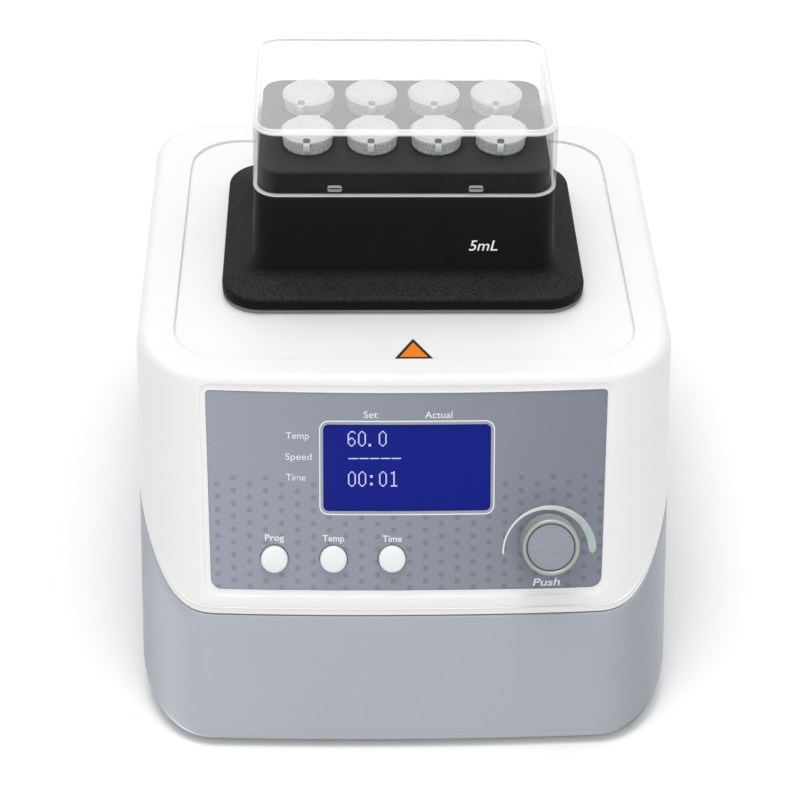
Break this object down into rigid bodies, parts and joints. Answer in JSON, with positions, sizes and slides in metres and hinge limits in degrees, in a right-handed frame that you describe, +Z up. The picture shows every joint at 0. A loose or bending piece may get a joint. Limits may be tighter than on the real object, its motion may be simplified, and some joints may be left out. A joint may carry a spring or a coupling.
{
  "type": "dry block heater",
  "caption": "Dry block heater with a sloping control panel, display, push buttons and knob, holding a tube block with snap-cap tubes under a clear lid.",
  "frame": {"origin": "on the bench, at the middle of the heater's bounding box", "axes": "+Z up, -Y towards the operator and the control panel, +X to the operator's right"},
  "size_m": [0.203, 0.251, 0.1896],
  "materials": {
    "white_plastic": "smooth moulded",
    "grey_paint": "metallic silver-grey",
    "panel_film": "printed grey film",
    "display_blue": "blue display",
    "clear_plastic": "clear",
    "tube_plastic": "translucent white",
    "black_plastic": "fine moulded texture",
    "knob_metal": "satin",
    "knob_disc": "fine grain",
    "aluminium": "machined",
    "steel": "plated",
    "rubber": "matt",
    "grey_rubber": "matt",
    "circuit_board": "solder mask",
    "insulation": "fibre pad",
    "heater_film": "polyimide film",
    "copper_core": "varnished winding",
    "label_orange": "printed label"
  },
  "bodies": {
    "housing": {"upper_housing": "white_plastic", "lower_housing": "grey_paint", "panel_overlay": "panel_film", "display_lens": "clear_plastic", "lcd_module": "display_blue", "display_board": "circuit_board", "encoder_body": "steel", "plate_carrier": "black_plastic", "insulation_pad": "insulation", "thermal_cutout": "steel", "heater_film": "heater_film", "heating_plate": "aluminium", "temperature_sensor": "steel", "seat_seal": "grey_rubber", "power_board": "circuit_board", "transformer": "copper_core", "heat_sink": "aluminium", "ribbon_cable": "grey_rubber", "mains_inlet": "black_plastic", "switch_frame": "black_plastic", "hot_surface_label": "label_orange", "switch_prog": "black_plastic", "switch_temp": "black_plastic", "switch_time": "black_plastic", "foot_1": "rubber", "housing_screw_1": "steel", "foot_2": "rubber", "housing_screw_2": "steel", "foot_3": "rubber", "housing_screw_3": "steel", "foot_4": "rubber", "housing_screw_4": "steel"},
    "block": {"block_shroud": "black_plastic", "tube_block": "aluminium"},
    "lid": {"lid": "clear_plastic"},
    "tube_1_body": {"tube_1": "tube_plastic"},
    "tube_2_body": {"tube_2": "tube_plastic"},
    "tube_3_body": {"tube_3": "tube_plastic"},
    "tube_4_body": {"tube_4": "tube_plastic"},
    "tube_5_body": {"tube_5": "tube_plastic"},
    "tube_6_body": {"tube_6": "tube_plastic"},
    "tube_7_body": {"tube_7": "tube_plastic"},
    "tube_8_body": {"tube_8": "tube_plastic"},
    "cap_1_body": {"tube_cap_1": "tube_plastic"},
    "cap_2_body": {"tube_cap_2": "tube_plastic"},
    "cap_3_body": {"tube_cap_3": "tube_plastic"},
    "cap_4_body": {"tube_cap_4": "tube_plastic"},
    "cap_5_body": {"tube_cap_5": "tube_plastic"},
    "cap_6_body": {"tube_cap_6": "tube_plastic"},
    "cap_7_body": {"tube_cap_7": "tube_plastic"},
    "cap_8_body": {"tube_cap_8": "tube_plastic"},
    "prog_button": {"button_prog": "white_plastic"},
    "temp_button": {"button_temp": "white_plastic"},
    "time_button": {"button_time": "white_plastic"},
    "encoder_push": {"encoder_plunger": "black_plastic"},
    "knob_turned": {"encoder_shaft": "steel", "knob": "knob_metal", "knob_insert": "knob_disc"},
    "drawer": {"fuse_drawer": "black_plastic"},
    "rocker": {"power_rocker": "black_plastic"}
  },
  "joints": [
    {"name": "block_lift", "type": "slide", "parent": "housing", "child": "block", "axis": [0, 0, 1], "range_m": [0, 0.06]},
    {"name": "lid_lift", "type": "slide", "parent": "block", "child": "lid", "axis": [0, 0, 1], "range_m": [0, 0.04]},
    {"name": "tube_1_lift", "type": "slide", "parent": "block", "child": "tube_1_body", "axis": [0, 0, 1], "range_m": [0, 0.007]},
    {"name": "tube_2_lift", "type": "slide", "parent": "block", "child": "tube_2_body", "axis": [0, 0, 1], "range_m": [0, 0.007]},
    {"name": "tube_3_lift", "type": "slide", "parent": "block", "child": "tube_3_body", "axis": [0, 0, 1], "range_m": [0, 0.007]},
    {"name": "tube_4_lift", "type": "slide", "parent": "block", "child": "tube_4_body", "axis": [0, 0, 1], "range_m": [0, 0.007]},
    {"name": "tube_5_lift", "type": "slide", "parent": "block", "child": "tube_5_body", "axis": [0, 0, 1], "range_m": [0, 0.007]},
    {"name": "tube_6_lift", "type": "slide", "parent": "block", "child": "tube_6_body", "axis": [0, 0, 1], "range_m": [0, 0.007]},
    {"name": "tube_7_lift", "type": "slide", "parent": "block", "child": "tube_7_body", "axis": [0, 0, 1], "range_m": [0, 0.007]},
    {"name": "tube_8_lift", "type": "slide", "parent": "block", "child": "tube_8_body", "axis": [0, 0, 1], "range_m": [0, 0.007]},
    {"name": "cap_1_hinge", "type": "hinge", "parent": "tube_1_body", "child": "cap_1_body", "pos_m": [-0.036, 0.03055, 0.17555], "axis": [-1, 0, 0], "range_deg": [0, 18]},
    {"name": "cap_2_hinge", "type": "hinge", "parent": "tube_2_body", "child": "cap_2_body", "pos_m": [-0.012, 0.03055, 0.17555], "axis": [-1, 0, 0], "range_deg": [0, 18]},
    {"name": "cap_3_hinge", "type": "hinge", "parent": "tube_3_body", "child": "cap_3_body", "pos_m": [0.012, 0.03055, 0.17555], "axis": [-1, 0, 0], "range_deg": [0, 18]},
    {"name": "cap_4_hinge", "type": "hinge", "parent": "tube_4_body", "child": "cap_4_body", "pos_m": [0.036, 0.03055, 0.17555], "axis": [-1, 0, 0], "range_deg": [0, 18]},
    {"name": "cap_5_hinge", "type": "hinge", "parent": "tube_5_body", "child": "cap_5_body", "pos_m": [-0.036, 0.05825, 0.17555], "axis": [-1, 0, 0], "range_deg": [0, 18]},
    {"name": "cap_6_hinge", "type": "hinge", "parent": "tube_6_body", "child": "cap_6_body", "pos_m": [-0.012, 0.05825, 0.17555], "axis": [-1, 0, 0], "range_deg": [0, 18]},
    {"name": "cap_7_hinge", "type": "hinge", "parent": "tube_7_body", "child": "cap_7_body", "pos_m": [0.012, 0.05825, 0.17555], "axis": [-1, 0, 0], "range_deg": [0, 18]},
    {"name": "cap_8_hinge", "type": "hinge", "parent": "tube_8_body", "child": "cap_8_body", "pos_m": [0.036, 0.05825, 0.17555], "axis": [-1, 0, 0], "range_deg": [0, 18]},
    {"name": "prog_press", "type": "slide", "parent": "housing", "child": "prog_button", "axis": [0, 0.866, -0.5], "range_m": [0, 0.001], "stiffness_N_per_m": 300},
    {"name": "temp_press", "type": "slide", "parent": "housing", "child": "temp_button", "axis": [0, 0.866, -0.5], "range_m": [0, 0.001], "stiffness_N_per_m": 300},
    {"name": "time_press", "type": "slide", "parent": "housing", "child": "time_button", "axis": [0, 0.866, -0.5], "range_m": [0, 0.001], "stiffness_N_per_m": 300},
    {"name": "knob_push", "type": "slide", "parent": "housing", "child": "encoder_push", "axis": [0, 0.866, -0.5], "range_m": [0, 0.0008], "stiffness_N_per_m": 600},
    {"name": "knob_turn", "type": "hinge", "parent": "encoder_push", "child": "knob_turned", "pos_m": [0.05145, -0.0885, 0.06787], "axis": [0, -0.866, 0.5], "continuous": true},
    {"name": "drawer_pull", "type": "slide", "parent": "housing", "child": "drawer", "axis": [0, 1, 0], "range_m": [0, 0.014]},
    {"name": "rocker_switch", "type": "hinge", "parent": "housing", "child": "rocker", "pos_m": [-0.004, 0.1198, 0.036], "axis": [-1, 0, 0], "range_deg": [0, 16]}
  ]
}
